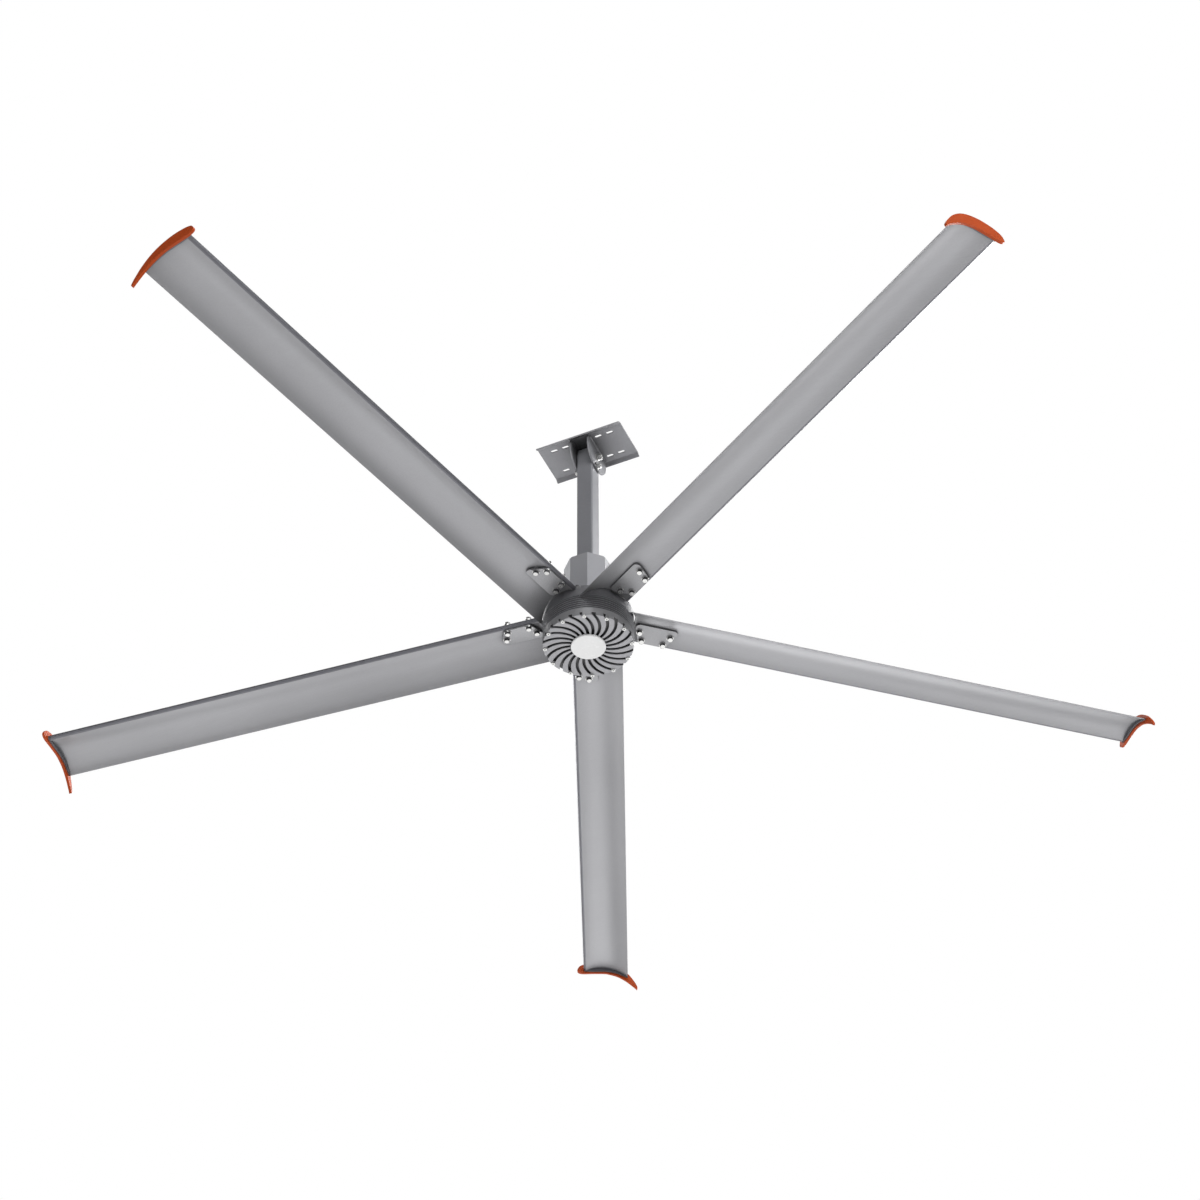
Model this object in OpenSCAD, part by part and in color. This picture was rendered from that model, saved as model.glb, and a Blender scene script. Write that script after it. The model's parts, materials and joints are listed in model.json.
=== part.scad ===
/* [Ceiling bracket] */
// Length of the ceiling plate
plate_l = 324; // [300:1:400]
// Flat width of the ceiling plate
plate_w = 160; // [140:1:200]
// Thickness of the ceiling plate and its lips
plate_t = 5; // [4:0.5:8]
// Slanted width of the stiffening lip on each long edge
lip_w = 18; // [12:1:26]
// Angle of the lips below the plate
lip_angle = 38; // [25:1:55]
// End-to-end length of a fixing slot
slot_l = 26; // [18:1:34]
// Width of a fixing slot
slot_w = 11; // [9:0.5:13]
// Distance of the inner slots from the middle, along the plate
slot_in_x = 65; // [60:1:72]
// Distance of the outer slots from the middle, along the plate
slot_out_x = 109; // [104:1:125]
// Distance of the slots from the middle, across the plate
slot_y = 52; // [45:1:56]
// Thickness of a pivot ear
ear_t = 6; // [5:0.5:8]
// Radius of the ear's round lower edge
ear_r = 76; // [74:1:84]
// Depth of the centre of the ear's round edge below the plate
ear_centre_drop = 33; // [30:1:40]

/* [Pivot and drop] */
// Ceiling to the plane of the blade noses
drop_h = 835; // [700:5:1500]
// Side of the square down tube
tube_w = 60; // [56:1:64]
// Wall of the down tube
tube_t = 4; // [3:0.5:6]
// Outer corner radius of the down tube
tube_corner_r = 5; // [4.5:0.5:9]
// Gap between the tube's top and the ceiling plate
tube_top_gap = 14; // [12:1:20]
// Depth of the pivot below the ceiling plate
pivot_drop = 48; // [46:0.5:52]
// Radius of the arc slot that the lock bolt slides in
lock_r = 47; // [44:0.5:50]
// Largest tilt of the tube from plumb, each way
tilt_max = 15; // [5:1:20]
// Diameter of the pivot bolt
pivot_bolt_d = 16; // [12:1:18]
// Diameter of the lock bolt
lock_bolt_d = 12; // [10:0.5:14]

/* [Collar] */
// Size of the octagonal collar across its flats
collar_w = 154; // [150:1:166]
// Top of the collar above the blade plane
collar_top_h = 236; // [200:1:300]
// Bottom of the collar above the blade plane
collar_bottom_h = 14; // [13:0.5:20]
// Sheet thickness of the collar
sheet_t = 2; // [1.5:0.5:3]
// Radius of the rounded top corners of the collar panels
panel_corner_r = 7; // [6:1:20]

/* [Hub] */
// Outer radius of the hub
hub_r = 154; // [150:1:160]
// Top of the hub above the blade plane
hub_top_h = 10; // [8:0.5:11]
// Depth of the top cover's skirt below the blade plane
skirt_drop = 33; // [31:1:36]
// Depth of the joint between drum and bottom cover
cover_joint_drop = 95; // [94:1:98]
// Depth of the bottom cover's face
cover_face_drop = 126; // [124:1:130]
// Number of circumferential ribs on the drum
rib_count = 6; // [4:1:8]
// Height of one rib
rib_w = 4; // [3:0.5:6]
// Depth of the grooves between the ribs
rib_depth = 2.5; // [1:0.5:4]
// Radius of the badge disc
badge_r = 59; // [56:0.5:62]
// How far the badge stands below the cover's face
badge_stand = 7.5; // [5:0.5:10]
// Number of spiral grooves in the bottom cover
groove_count = 24; // [18:6:24]
// Width of a spiral groove
groove_w = 10.5; // [7:0.5:11]
// Depth of a spiral groove
groove_depth = 12; // [6:0.5:14]
// Radius of a spiral groove's own arc
groove_arc_r = 94; // [85:1:110]
// Number of screws through the rim
rim_screw_count = 12; // [6:6:12]
// Radius of the circle of rim screws
rim_screw_r = 146; // [145:0.5:147]

/* [Motor] */
// Radius of the air gap, at the stator's outer face
stator_r = 117; // [114:0.5:118]
// Air gap between stator and magnets
air_gap = 1; // [0.8:0.1:1.5]
// Height of the stator's laminated core
stator_h = 40; // [30:1:44]
// Number of stator teeth and coils
tooth_count = 24; // [18:3:24]
// Number of magnets
magnet_count = 20; // [16:2:24]
// Thickness of a magnet
magnet_t = 6; // [4:0.5:7]
// Radius of the fixed shaft at the upper bearing
shaft_r = 30; // [28:0.5:31]
// Radius of the fixed shaft at the lower bearing
shaft_low_r = 25; // [22:0.5:26]
// Radius of the shaft's cable bore
cable_bore_r = 12; // [8:0.5:14]

/* [Blades] */
// Radius of the blades' outer ends
blade_r = 2000; // [1000:10:3500]
// Gap between hub and blade roots
root_gap = 4.5; // [3:0.5:10]
// Radius of the blade's nose
nose_r = 9; // [8:0.5:10]
// Nose centre ahead of the blade's radial line
nose_y = 50.6; // [48:0.1:56]
// Trailing edge behind the blade's radial line
trail_y = 113.8; // [105:0.1:125]
// Depth of the trailing edge below the blade plane
trail_drop = 44.2; // [40:0.1:48]
// Thickness of the trailing edge
trail_t = 2.7; // [2.5:0.1:4]
// Height of the blade's upper surface at its crown
crown_h = 17.5; // [16.5:0.5:19]
// Height of the blade's underside at its crown
under_h = 1.5; // [0:0.5:2]
// Wall thickness of the hollow blade
skin_t = 2.5; // [2:0.1:3]
// Diameter of the bolts that clamp the blades
blade_bolt_d = 12; // [10:0.5:14]
// Radii of the inner and the outer bolt pair, rear row
bolt_rear_rs = [183, 292]; // [100:1:400]
// Radii of the inner and the outer bolt pair, front row
bolt_front_rs = [200, 276]; // [100:1:400]
// Thickness of the clamp plate under a blade root
clamp_t = 6; // [4:0.5:8]

/* [Winglets] */
// Length of the winglet across the blade
winglet_l = 236; // [220:1:250]
// Height of the winglet, from its crest to its tail
winglet_h = 129; // [118:1:138]
// Thickness of the winglet
winglet_t = 9; // [6:0.5:14]
// Thickness of the plug's flange between blade and winglet
tip_flange_t = 6; // [3:0.5:12]
// Depth of the plug inside the blade
plug_l = 60; // [30:1:100]

/* [Hidden] */

$fn = 96;
big_fn = 240;
overrun = 1;
fit_gap = 0.05;
seat_gap = 0.1;
run_gap = 0.3;
hex_af_share = 1.5;
hex_h_share = 0.65;
nut_h_share = 0.85;
thread_out_share = 1.25;
washer_r_share = 1;
washer_t_share = 0.18;
octagon = 8;
hexagon = 6;

blade_count = 5;
blade_step = 360 / blade_count;
first_blade_angle = 41.4;

// Rounded bar: a slot's outline, long along X
module slot_2d(l, w) {
    square([l - w, w], center = true);
    for (side = [-1, 1])
        translate([side * (l - w) / 2, 0]) circle(d = w);
}

module ring(r_out, r_in, h) {
    difference() {
        cylinder(r = r_out, h = h);
        translate([0, 0, -overrun]) cylinder(r = r_in, h = h + 2 * overrun);
    }
}

// Sector of a disc, centred on +X
module wedge(r, half_angle, h) {
    reach = 2 * r;
    linear_extrude(h)
        polygon([[0, 0], [reach * cos(half_angle), -reach * sin(half_angle)], [reach, 0],
            [reach * cos(half_angle), reach * sin(half_angle)]]);
}

// Extrude an outline given as [across, up] along X
module along_x(from, to) {
    translate([from, 0, 0]) rotate([90, 0, 90]) linear_extrude(to - from) children();
}

function hex_r(d) = hex_af_share * d / 2 / cos(180 / hexagon);
function head_h(d) = hex_h_share * d;
function nut_h(d) = nut_h_share * d;
function washer_r(d) = washer_r_share * d;
function washer_t(d) = washer_t_share * d;

module hex_prism(d, h) {
    cylinder(r = hex_r(d), h = h, $fn = hexagon);
}

// Hexagon bolt standing on the plane z = 0: the head above it, the shank below
module hex_bolt(d, l) {
    hex_prism(d, head_h(d));
    translate([0, 0, -l]) cylinder(d = d, h = l + head_h(d) / 2);
}

module hex_nut(d) {
    difference() {
        hex_prism(d, nut_h(d));
        translate([0, 0, -overrun]) cylinder(d = d + 2 * fit_gap, h = nut_h(d) + 2 * overrun);
    }
}

module washer(d) {
    ring(washer_r(d), d / 2 + fit_gap, washer_t(d));
}

// Centre of the circle through three points of a plane
function arc_centre(p, q, r) =
    let (a = q - p, b = r - p, d = 2 * (a.x * b.y - a.y * b.x))
    p + [(b.y * (a * a) - a.y * (b * b)) / d, (a.x * (b * b) - b.x * (a * a)) / d];

// Smooth closed curve through a list of points
function spline_point(p0, p1, p2, p3, s) =
    (2 * p1 + (p2 - p0) * s + (2 * p0 - 5 * p1 + 4 * p2 - p3) * s * s
        + (3 * p1 - p0 - 3 * p2 + p3) * s * s * s) / 2;
function closed_spline(pts, steps) =
    let (n = len(pts))
    [for (i = [0:n - 1], j = [0:steps - 1])
        spline_point(pts[(i + n - 1) % n], pts[i], pts[(i + 1) % n], pts[(i + 2) % n], j / steps)];

// Ceiling bracket. The ceiling is the plane z = 0.

plate_bottom_z = -plate_t;
pivot_z = plate_bottom_z - pivot_drop;
ear_centre_z = plate_bottom_z - ear_centre_drop;
ear_gap = 1;
ear_in_x = tube_w / 2 + ear_gap;
ear_out_x = ear_in_x + ear_t;
ear_corner = 5;
lip_run = lip_w * cos(lip_angle);
lip_fall = lip_w * sin(lip_angle);
lip_back = plate_t * sin(lip_angle);
pivot_hole_r = pivot_bolt_d / 2 + fit_gap;
lock_slot_gap = 1;
lock_slot_w = lock_bolt_d + lock_slot_gap;

module ceiling_plate() {
    color("dimgray")
    difference() {
        union() {
            translate([-plate_l / 2, -plate_w / 2, plate_bottom_z]) cube([plate_l, plate_w, plate_t]);
            for (turn = [0, 180]) rotate(turn)
                along_x(-plate_l / 2, plate_l / 2)
                    polygon([[plate_w / 2, 0], [plate_w / 2 - lip_back, -plate_t],
                        [plate_w / 2 + lip_run - lip_back, -lip_fall - plate_t * cos(lip_angle)],
                        [plate_w / 2 + lip_run, -lip_fall]]);
        }
        for (x = [-slot_out_x, -slot_in_x, slot_in_x, slot_out_x], y = [-slot_y, slot_y])
            translate([x, y, plate_bottom_z - overrun])
                linear_extrude(plate_t + 2 * overrun) slot_2d(slot_l, slot_w);
    }
}

// Outline of an ear, seen along X: corners cut clear of the lips, then a round edge
module ear_2d() {
    difference() {
        union() {
            translate([0, ear_centre_z]) circle(r = ear_r);
            polygon([[-ear_r, ear_centre_z], [ear_r, ear_centre_z], [ear_r, plate_bottom_z - ear_corner],
                [ear_r - ear_corner, plate_bottom_z], [ear_corner - ear_r, plate_bottom_z],
                [-ear_r, plate_bottom_z - ear_corner]]);
        }
        translate([-2 * ear_r, plate_bottom_z]) square([4 * ear_r, 2 * ear_r]);
        translate([0, pivot_z]) circle(r = pivot_hole_r);
        lock_slot_2d();
    }
}

// Arc slot for the lock bolt, round the pivot, with slightly wider round ends
module lock_slot_2d() {
    r_out = lock_r + lock_slot_w / 2;
    r_in = lock_r - lock_slot_w / 2;
    reach = 2 * r_out;
    translate([0, pivot_z]) {
        intersection() {
            difference() {
                circle(r = r_out);
                circle(r = r_in);
            }
            polygon([[0, 0], [-reach * sin(tilt_max), -reach * cos(tilt_max)], [0, -reach],
                [reach * sin(tilt_max), -reach * cos(tilt_max)]]);
        }
        for (side = [-1, 1])
            translate([side * lock_r * sin(tilt_max), -lock_r * cos(tilt_max)])
                circle(d = lock_slot_w + 2 * seat_gap);
    }
}

module pivot_ears() {
    color("dimgray")
    for (x = [-ear_out_x, ear_in_x]) along_x(x, x + ear_t) ear_2d();
}

// Place something on the outer face of an ear: +Z then points away from the tube
module outside_ear(side, gap, y, z) {
    translate([side * (ear_out_x + gap), y, z]) rotate([0, side * 90, 0]) children();
}

pivot_washer_t = washer_t(pivot_bolt_d);
pivot_grip = 2 * (ear_out_x + pivot_washer_t);

module pivot_bolt() {
    color("silver")
    outside_ear(-1, pivot_washer_t, 0, pivot_z)
        hex_bolt(pivot_bolt_d, pivot_grip + thread_out_share * nut_h(pivot_bolt_d));
}

module pivot_nut() {
    color("silver") outside_ear(1, pivot_washer_t, 0, pivot_z) hex_nut(pivot_bolt_d);
}

module pivot_washers() {
    color("silver")
    for (side = [-1, 1]) outside_ear(side, 0, 0, pivot_z) washer(pivot_bolt_d);
}

// Down tube with the pieces that swing with it.

blade_z = -drop_h;
tube_top_z = plate_bottom_z - tube_top_gap;
base_h = 42;
base_t = 10;
flange_t = 12;
tube_bottom_z = blade_z + base_h;
bush_wall = 3;
bush_r = pivot_bolt_d / 2 + bush_wall;
lock_z = pivot_z - lock_r;
lock_gap = 0.2;
grommet_drop = 110;
grommet_z = tube_top_z - grommet_drop;
grommet_r = 12;
collar_top_z = blade_z + collar_top_h;
collar_bolt_d = 8;
collar_bolt_rise = 10;
collar_bolt_z = collar_top_z + collar_bolt_rise;

module tube_2d(w, r) {
    square([w - 2 * r, w], center = true);
    square([w, w - 2 * r], center = true);
    for (x = [-1, 1], y = [-1, 1])
        translate([x * (w / 2 - r), y * (w / 2 - r)]) circle(r = r);
}

module down_tube() {
    color("gray")
    difference() {
        translate([0, 0, tube_bottom_z]) linear_extrude(tube_top_z - tube_bottom_z)
            difference() {
                tube_2d(tube_w, tube_corner_r);
                tube_2d(tube_w - 2 * tube_t, tube_corner_r - tube_t);
            }
        cross_hole(pivot_z, bush_r + fit_gap);
        cross_hole(lock_z, lock_bolt_d / 2 + fit_gap);
        cross_hole(collar_bolt_z, collar_bolt_d / 2 + fit_gap);
        translate([0, tube_w / 2 - tube_t - overrun, grommet_z]) rotate([-90, 0, 0])
            cylinder(r = grommet_r, h = tube_t + 2 * overrun);
    }
}

// Hole through the tube along X
module cross_hole(z, r) {
    translate([-tube_w / 2 - overrun, 0, z]) rotate([0, 90, 0]) cylinder(r = r, h = tube_w + 2 * overrun);
}

module pivot_bush() {
    color("goldenrod")
    translate([-tube_w / 2, 0, pivot_z]) rotate([0, 90, 0])
        ring(bush_r, pivot_bolt_d / 2 + fit_gap, tube_w);
}

lock_washer_t = washer_t(lock_bolt_d);
lock_seat = lock_gap + lock_washer_t;
lock_grip = 2 * (ear_out_x + lock_seat);

module lock_bolt() {
    color("silver")
    outside_ear(-1, lock_seat, 0, lock_z)
        hex_bolt(lock_bolt_d, lock_grip + thread_out_share * nut_h(lock_bolt_d));
}

module lock_nut() {
    color("silver") outside_ear(1, lock_seat, 0, lock_z) hex_nut(lock_bolt_d);
}

module lock_washers() {
    color("silver")
    for (side = [-1, 1]) outside_ear(side, lock_gap, 0, lock_z) washer(lock_bolt_d);
}

// Rubber cable inlet: two lips with the tube's wall between them
module cable_grommet() {
    lip = 3;
    bore_r = 7;
    neck_r = grommet_r - fit_gap;
    lip_r = grommet_r + lip;
    wall_edge = tube_t / 2;
    color("black")
    translate([0, tube_w / 2 - wall_edge, grommet_z]) rotate([-90, 0, 0])
        rotate_extrude()
            polygon([[bore_r, -wall_edge - lip], [lip_r, -wall_edge - lip], [lip_r, -wall_edge],
                [neck_r, -wall_edge], [neck_r, wall_edge], [lip_r, wall_edge],
                [lip_r, wall_edge + lip], [bore_r, wall_edge + lip]]);
}

// Octagonal collar round the tube's foot: four bent panels on two frames.

collar_bottom_z = blade_z + collar_bottom_h;
collar_h = collar_top_z - collar_bottom_z;
seam_gap = 0.6;
flat_angle = 360 / octagon;
frame_t = 3;
frame_flange_h = 14;
tab_x = tube_w / 2 + seat_gap;

function octagon_r(w) = w / 2 / cos(flat_angle / 2);

// Octagonal prism with a face towards +X and a vertex on each side of it
module octagon_prism(w, h) {
    rotate(flat_angle / 2) cylinder(r = octagon_r(w), h = h, $fn = octagon);
}

// Two faces of the octagon, meeting at the vertex on the panel's middle line
module collar_panel(i) {
    side_l = 2 * octagon_r(collar_w) * sin(flat_angle / 2);
    color("darkgray")
    rotate(i * 2 * flat_angle + flat_angle / 2)
        difference() {
            intersection() {
                translate([0, 0, collar_bottom_z]) difference() {
                    rotate(flat_angle / 2) octagon_prism(collar_w, collar_h);
                    translate([0, 0, -overrun]) rotate(flat_angle / 2)
                        octagon_prism(collar_w - 2 * sheet_t, collar_h + 2 * overrun);
                }
                translate([seam_gap, 0, collar_bottom_z - overrun])
                    wedge(collar_w, flat_angle, collar_h + 2 * overrun);
            }
            for (side = [-1, 1])
                rotate(side * flat_angle / 2)
                    translate([collar_w / 2 - 2 * sheet_t, side * (side_l / 2 - panel_corner_r),
                        collar_top_z - panel_corner_r]) rotate([0, 90, 0]) corner_cut(side);
        }
}

// What is cut away to round a panel's top corner
module corner_cut(side) {
    depth = 4 * sheet_t;
    difference() {
        translate([-panel_corner_r - overrun, min(0, side * (panel_corner_r + overrun)), 0])
            cube([panel_corner_r + overrun, panel_corner_r + overrun, depth]);
        translate([0, 0, -overrun]) cylinder(r = panel_corner_r, h = depth + 2 * overrun);
    }
}

// Octagonal ring plate with a flange that the panels are spot welded to
module collar_frame(z, up) {
    w_out = collar_w - 2 * sheet_t;
    flange_z = up ? z : z - frame_flange_h + frame_t;
    difference() {
        union() {
            translate([0, 0, z]) octagon_prism(w_out, frame_t);
            translate([0, 0, flange_z]) difference() {
                octagon_prism(w_out, frame_flange_h);
                translate([0, 0, -overrun]) octagon_prism(w_out - 2 * frame_t, frame_flange_h + 2 * overrun);
            }
        }
        translate([0, 0, z - overrun]) linear_extrude(frame_t + 2 * overrun)
            tube_2d(tube_w + 2 * seat_gap, tube_corner_r);
    }
}

// The top frame has two tabs, bolted to the left and right faces of the tube
module collar_frame_top() {
    tab_w = 30;
    z = collar_top_z - panel_corner_r - frame_t;
    tab_h = collar_bolt_z - z + tab_w / 3;
    color("gray") {
        collar_frame(z, false);
        for (x = [-tab_x - frame_t, tab_x])
            translate([x, 0, 0])
                difference() {
                    translate([0, -tab_w / 2, z]) cube([frame_t, tab_w, tab_h]);
                    translate([-overrun, 0, collar_bolt_z]) rotate([0, 90, 0])
                        cylinder(r = collar_bolt_d / 2 + fit_gap, h = frame_t + 2 * overrun);
                }
    }
}

module collar_frame_bottom() {
    color("gray")
    difference() {
        collar_frame(collar_bottom_z, true);
        translate([0, 0, collar_bottom_z - overrun])
            cylinder(r = flange_r + run_gap, h = frame_t + 2 * overrun);
    }
}

module collar_bolts() {
    color("silver")
    for (side = [-1, 1])
        translate([side * (tab_x + frame_t), 0, collar_bolt_z]) rotate([0, side * 90, 0])
            hex_bolt(collar_bolt_d, frame_t + seat_gap + 2 * tube_t);
}

// Fixed shaft and stator, hung from the tube's foot.

base_r = 64;
flange_r = 64;
base_bolt_d = 12;
base_bolt_circle_r = 52;
base_bolt_count = 4;
base_z = blade_z + base_h - base_t;
flange_z = base_z - flange_t;

module base_bolt_places() {
    for (i = [0:base_bolt_count - 1])
        rotate((i + 0.5) * 360 / base_bolt_count) translate([base_bolt_circle_r, 0, 0]) children();
}

module tube_base() {
    gusset_l = 20;
    gusset_h = 30;
    gusset_t = 5;
    color("gray")
    difference() {
        union() {
            translate([0, 0, base_z]) cylinder(r = base_r, h = base_t);
            for (i = [0:3]) rotate(i * 90)
                translate([tube_w / 2, gusset_t / 2, tube_bottom_z]) rotate([90, 0, 0])
                    linear_extrude(gusset_t) polygon([[0, 0], [gusset_l, 0], [0, gusset_h]]);
        }
        translate([0, 0, base_z - overrun]) cylinder(r = cable_bore_r, h = base_t + 2 * overrun);
        translate([0, 0, base_z - overrun]) base_bolt_places()
            cylinder(r = base_bolt_d / 2 + seat_gap, h = base_t + 2 * overrun);
    }
}

module base_bolts() {
    color("silver")
    base_bolt_places() {
        translate([0, 0, tube_bottom_z]) hex_bolt(base_bolt_d, base_t + flange_t - overrun);
    }
}

upper_bearing = [shaft_r, 47.5, 18];
lower_bearing = [shaft_low_r, 40, 16];
upper_bearing_drop = 22;
lower_bearing_drop = 114;
upper_bearing_z = blade_z - upper_bearing_drop;
lower_bearing_z = blade_z - lower_bearing_drop;
shoulder = 2;
shoulder_r = shaft_r + shoulder;
shaft_nut_t = 10;
shaft_end_z = lower_bearing_z - shaft_nut_t;
stator_z = blade_z - (skirt_drop + cover_joint_drop) / 2 - stator_h / 2;

module main_shaft() {
    low_top_z = lower_bearing_z + lower_bearing[2];
    color("silver")
    difference() {
        union() {
            translate([0, 0, flange_z]) cylinder(r = flange_r, h = flange_t);
            translate([0, 0, low_top_z]) cylinder(r = shaft_r, h = flange_z - low_top_z + overrun);
            translate([0, 0, low_top_z]) cylinder(r = shoulder_r, h = upper_bearing_z - low_top_z);
            translate([0, 0, shaft_end_z]) cylinder(r = shaft_low_r, h = low_top_z - shaft_end_z + overrun);
        }
        translate([0, 0, shaft_end_z - overrun])
            cylinder(r = cable_bore_r, h = base_z - shaft_end_z + 2 * overrun);
        translate([0, 0, flange_z - overrun]) base_bolt_places()
            cylinder(r = base_bolt_d / 2 + fit_gap, h = flange_t + 2 * overrun);
    }
}

core_in_r = 72;
yoke_r = 86;
tooth_w = 10;
slot_open_w = 4;
shoe_t = 4;

// Spoked hub that carries the laminated core on the shaft
module stator_carrier() {
    hub_wall = 12;
    rim_wall = 6;
    spoke_count = 6;
    spoke_w = 12;
    spoke_inset = 8;
    color("lightgray") translate([0, 0, stator_z]) {
        ring(shoulder_r + hub_wall, shoulder_r + fit_gap, stator_h);
        ring(core_in_r - fit_gap, core_in_r - rim_wall, stator_h);
        for (i = [0:spoke_count - 1]) rotate(i * 360 / spoke_count)
            translate([shoulder_r + hub_wall - overrun, -spoke_w / 2, spoke_inset])
                cube([core_in_r - rim_wall - shoulder_r - hub_wall + 2 * overrun, spoke_w,
                    stator_h - 2 * spoke_inset]);
    }
}

module stator_core() {
    color("dimgray") translate([0, 0, stator_z]) {
        ring(yoke_r, core_in_r, stator_h);
        for (i = [0:tooth_count - 1]) rotate(i * 360 / tooth_count)
            translate([yoke_r - overrun, -tooth_w / 2, 0])
                cube([stator_r - shoe_t - yoke_r + 2 * overrun, tooth_w, stator_h]);
        difference() {
            ring(stator_r, stator_r - shoe_t, stator_h);
            for (i = [0:tooth_count - 1]) rotate((i + 0.5) * 360 / tooth_count)
                translate([stator_r - 2 * shoe_t, -slot_open_w / 2, -overrun])
                    cube([3 * shoe_t, slot_open_w, stator_h + 2 * overrun]);
        }
    }
}

module stator_windings() {
    coil_in_r = 91;
    coil_t = 5;
    coil_gap = 0.5;
    coil_depth = stator_r - shoe_t - coil_in_r - coil_gap;
    hole_w = tooth_w + 2 * seat_gap;
    hole_h = stator_h + 2 * seat_gap;
    color("peru")
    for (i = [0:tooth_count - 1]) rotate(i * 360 / tooth_count)
        translate([coil_in_r, 0, stator_z + stator_h / 2])
            difference() {
                translate([0, -hole_w / 2 - coil_t, -hole_h / 2 - coil_t])
                    cube([coil_depth, hole_w + 2 * coil_t, hole_h + 2 * coil_t]);
                translate([-overrun, -hole_w / 2, -hole_h / 2])
                    cube([coil_depth + 2 * overrun, hole_w, hole_h]);
            }
}

// Ball bearings. A size is [bore radius, outer radius, width].

race_share = 0.3;
ball_share = 0.28;
bearing_ball_count = 12;

function race_mid(b) = (b[0] + b[1]) / 2;
function ball_r(b) = ball_share * (b[1] - b[0]);

module inner_race(b) {
    wall = race_share * (b[1] - b[0]);
    rotate_extrude() difference() {
        translate([b[0] + fit_gap, 0]) square([wall, b[2]]);
        translate([race_mid(b), b[2] / 2]) circle(r = ball_r(b) + run_gap);
    }
}

module outer_race(b) {
    wall = race_share * (b[1] - b[0]);
    rotate_extrude() difference() {
        translate([b[1] - fit_gap - wall, 0]) square([wall, b[2]]);
        translate([race_mid(b), b[2] / 2]) circle(r = ball_r(b) + run_gap);
    }
}

module balls(b) {
    for (i = [0:bearing_ball_count - 1]) rotate(i * 360 / bearing_ball_count)
        translate([race_mid(b), 0, b[2] / 2]) sphere(r = ball_r(b));
}

module upper_bearing_inner() {
    color("silver") translate([0, 0, upper_bearing_z]) inner_race(upper_bearing);
}

module upper_bearing_outer() {
    color("silver") translate([0, 0, upper_bearing_z]) outer_race(upper_bearing);
}

module lower_bearing_inner() {
    color("silver") translate([0, 0, lower_bearing_z]) inner_race(lower_bearing);
}

module lower_bearing_outer() {
    color("silver") translate([0, 0, lower_bearing_z]) outer_race(lower_bearing);
}

module bearing_balls() {
    color("white") {
        translate([0, 0, upper_bearing_z]) balls(upper_bearing);
        translate([0, 0, lower_bearing_z]) balls(lower_bearing);
    }
}

module shaft_nut() {
    nut_r = 32.5;
    notch_w = 6;
    notch_depth = 2.5;
    color("dimgray") translate([0, 0, shaft_end_z])
        difference() {
            ring(nut_r, shaft_low_r + fit_gap, shaft_nut_t);
            for (i = [0:3]) rotate(i * 90)
                translate([nut_r - notch_depth, -notch_w / 2, -overrun])
                    cube([notch_depth + overrun, notch_w, shaft_nut_t + 2 * overrun]);
        }
}

// Rotating hub: top cover, ribbed drum and finned bottom cover.

hub_top_z = blade_z + hub_top_h;
skirt_z = blade_z - skirt_drop;
cover_joint_z = blade_z - cover_joint_drop;
cover_face_z = blade_z - cover_face_drop;
back_iron_t = 8;
drum_in_r = stator_r + air_gap + magnet_t + back_iron_t + 2 * fit_gap;
arm_t = 12;
cover_plate_t = 12;
top_plate_z = hub_top_z - arm_t - cover_plate_t;
housing_wall = 9;
bearing_lip = 2;
seal_h = 8;
seal_r = 40;
pad_in_r = 90;
pad_half_angle = 27;
pad_gap_angle = 0.4;
pad_edge_gap = 0.5;
rim_screw_d = 8;
rim_screw_angle = 19.1;
rim_screw_grip = 16;
edge_break = 1.5;

module top_cover() {
    housing_bottom_z = upper_bearing_z - bearing_lip;
    color("dimgray")
    difference() {
        rotate_extrude($fn = big_fn)
            polygon([[seal_r, hub_top_z], [hub_r - edge_break, hub_top_z], [hub_r, hub_top_z - edge_break],
                [hub_r, skirt_z], [drum_in_r, skirt_z], [drum_in_r, top_plate_z],
                [upper_bearing[1] + housing_wall, top_plate_z],
                [upper_bearing[1] + housing_wall, housing_bottom_z], [upper_bearing[1], housing_bottom_z],
                [upper_bearing[1], upper_bearing_z + upper_bearing[2]],
                [seal_r, upper_bearing_z + upper_bearing[2]]]);
        for (k = [1:blade_count]) rotate(blade_angle(k)) translate([0, 0, hub_top_z - arm_t])
            intersection() {
                ring(hub_r + overrun, pad_in_r - pad_edge_gap, arm_t + overrun);
                wedge(hub_r, pad_half_angle + pad_gap_angle, arm_t + overrun);
            }
        arm_bolt_places() translate([0, 0, hub_top_z - arm_t - arm_bolt_depth])
            cylinder(d = arm_bolt_d + 2 * fit_gap, h = arm_bolt_depth + overrun);
        rim_screw_places() translate([0, 0, skirt_z - overrun])
            cylinder(d = rim_screw_d + 2 * fit_gap, h = rim_screw_grip + overrun);
    }
}

module rim_screw_places() {
    for (i = [0:rim_screw_count - 1]) rotate(rim_screw_angle + i * 360 / rim_screw_count)
        translate([rim_screw_r, 0, 0]) children();
}

// One drum rib: a trapezium that stands out from the groove floor, on the row z
function rib_points(z) = let (floor_r = hub_r - rib_depth, slope = rib_w / 6)
    [[floor_r, z], [hub_r - rib_tip, z + slope], [hub_r - rib_tip, z + rib_w - slope], [floor_r, z + rib_w]];

rib_tip = 0.5;
drum_edge = 3;

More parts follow.
